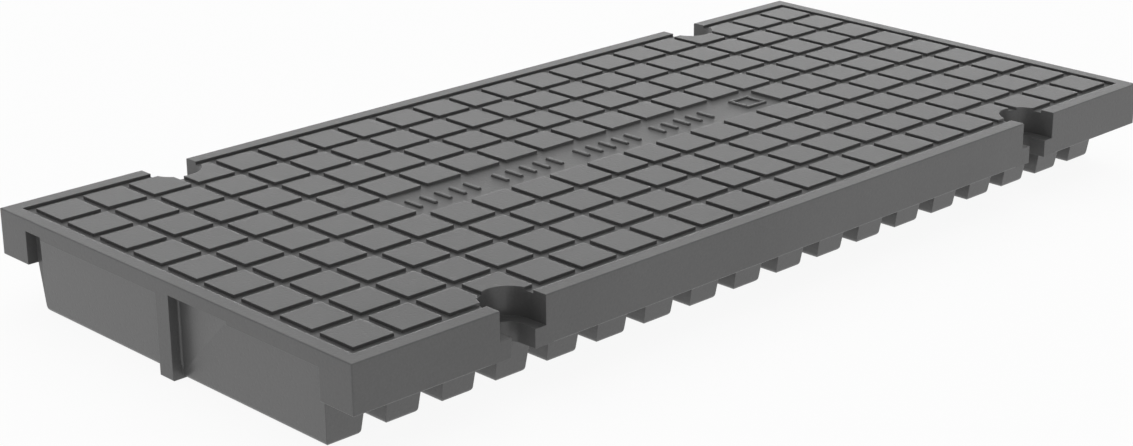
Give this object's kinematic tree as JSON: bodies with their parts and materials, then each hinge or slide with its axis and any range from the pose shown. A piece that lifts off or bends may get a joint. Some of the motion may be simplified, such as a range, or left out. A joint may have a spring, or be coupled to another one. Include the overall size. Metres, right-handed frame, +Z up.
{
  "type": "drainage channel cover",
  "caption": "Solid cast iron cover for a drainage channel, with a raised square pad pattern, side rails, cross ribs below and counterbored edge notches for locking bolts.",
  "frame": {"origin": "centre of the box of the cover at the level of the rib undersides", "axes": "+X along the length of the cover, +Y across it, +Z up through the raised pads"},
  "size_m": [0.5, 0.236, 0.042],
  "materials": {
    "iron": "satin dark grey coating on cast iron"
  },
  "bodies": {
    "root": {"cover": "iron"}
  },
  "joints": []
}
